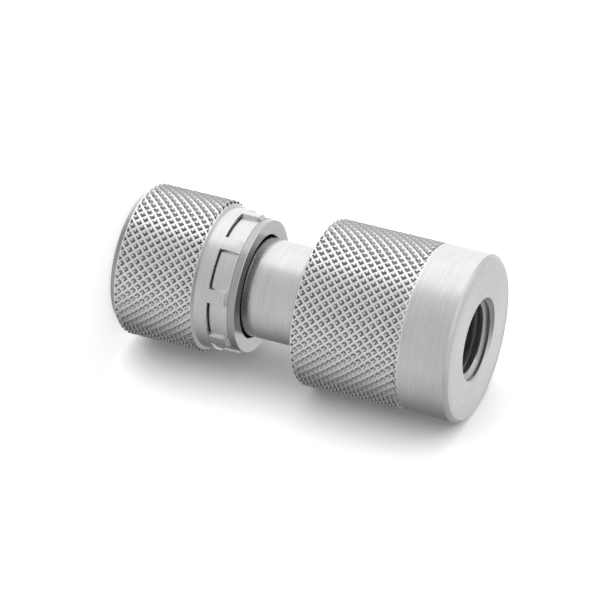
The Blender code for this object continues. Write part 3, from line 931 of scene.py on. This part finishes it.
class CONNECTOR_OT_nut(bpy.types.Operator):
    """Adds the coupling nut with its knurl, tabs and thread"""

    bl_idname = "connector.nut"
    bl_label = "Coupling nut"

    def execute(self, context):
        settings = context.scene
        steel = turned_steel("Nut steel", settings.connector_finishes.steel, roughness=0.26,
                             lines=0.25, grain=0.3, streaks=0.0)
        bm = nut_mesh(settings.connector_knurls, settings.connector_nut)
        new_piece("knurled_nut", bm, "nut", steel, "turned_steel", "coupling_nut")
        return {"FINISHED"}


class CONNECTOR_OT_ring(bpy.types.Operator):
    """Adds the retaining ring with its polished rear face"""

    bl_idname = "connector.ring"
    bl_label = "Retaining ring"

    def execute(self, context):
        tint = context.scene.connector_finishes.polished
        polished = turned_steel("Polished steel", tint, roughness=0.22, lines=0.05, grain=0.05,
                                streaks=0.0)
        new_piece("rear_ring", ring_mesh(context.scene.connector_inner), "nut", polished,
                  "polished_steel", "retaining_ring")
        return {"FINISHED"}


class CONNECTOR_OT_inner_pieces(bpy.types.Operator):
    """Adds the snap ring, the two seals and the depressor pin"""

    bl_idname = "connector.inner_pieces"
    bl_label = "Inner pieces"

    def execute(self, context):
        sizes = context.scene.connector_inner
        tints = context.scene.connector_finishes
        spring = plain_finish("Spring steel", tints.spring, roughness=0.35, metallic=1.0,
                              scale=3000.0, height=0.2)
        rubber = plain_finish("Black rubber", tints.rubber, roughness=0.5, metallic=0.0,
                              scale=6000.0, height=0.3)
        plastic = plain_finish("White plastic", tints.plastic, roughness=0.45, metallic=0.0,
                               scale=5000.0, height=0.15)
        steel = plain_finish("Pin steel", tints.steel, roughness=0.25, metallic=1.0,
                             scale=4000.0, height=0.15)
        new_piece("split_ring", snap_ring_mesh(sizes), "body", spring, "spring_steel", "snap_ring")
        new_piece("seal_ring", o_ring_mesh(sizes), "body", rubber, "black_rubber", "nose_o_ring")
        new_piece("support_ring", backup_ring_mesh(sizes), "body", plastic, "white_plastic",
                  "backup_ring")
        new_piece("valve_pin", pin_mesh(sizes), "body", steel, "turned_steel", "depressor_pin")
        return {"FINISHED"}


class CONNECTOR_OT_stage(bpy.types.Operator):
    """Adds the camera, the studio, the floor, the backdrop and the sun"""

    bl_idname = "connector.stage"
    bl_label = "Stage"

    def execute(self, context):
        make_camera()
        make_room()
        make_sun(make_floor_and_backdrop())
        context.scene.view_settings.view_transform = "Standard"
        return {"FINISHED"}


class CONNECTOR_PT_panel(bpy.types.Panel):
    """Lists the operators and the sizes of the connector"""

    bl_idname = "CONNECTOR_PT_panel"
    bl_label = "Quick-test connector"
    bl_space_type = "VIEW_3D"
    bl_region_type = "UI"
    bl_category = "Connector"

    def draw(self, context):
        layout = self.layout
        for operator in OPERATORS:
            layout.operator(operator.bl_idname)
        for name in SETTINGS:
            group = getattr(context.scene, name)
            for field in group.bl_rna.properties:
                if field.identifier not in ("name", "rna_type"):
                    layout.prop(group, field.identifier)


SETTINGS = {
    "connector_knurls": KnurlSizes,
    "connector_body": BodySizes,
    "connector_nut": NutSizes,
    "connector_inner": InnerSizes,
    "connector_finishes": Finishes,
}
OPERATORS = (
    CONNECTOR_OT_body,
    CONNECTOR_OT_nut,
    CONNECTOR_OT_ring,
    CONNECTOR_OT_inner_pieces,
    CONNECTOR_OT_stage,
)


def register():
    for item in (*SETTINGS.values(), *OPERATORS, CONNECTOR_PT_panel):
        bpy.utils.register_class(item)
    for name, group in SETTINGS.items():
        setattr(bpy.types.Scene, name, PointerProperty(type=group))


def unregister():
    for name in SETTINGS:
        delattr(bpy.types.Scene, name)
    for item in (CONNECTOR_PT_panel, *reversed(OPERATORS), *SETTINGS.values()):
        bpy.utils.unregister_class(item)


def main():
    register()
    bpy.ops.connector.body()
    bpy.ops.connector.nut()
    bpy.ops.connector.ring()
    bpy.ops.connector.inner_pieces()
    bpy.ops.connector.stage()


if __name__ == "__main__":
    main()
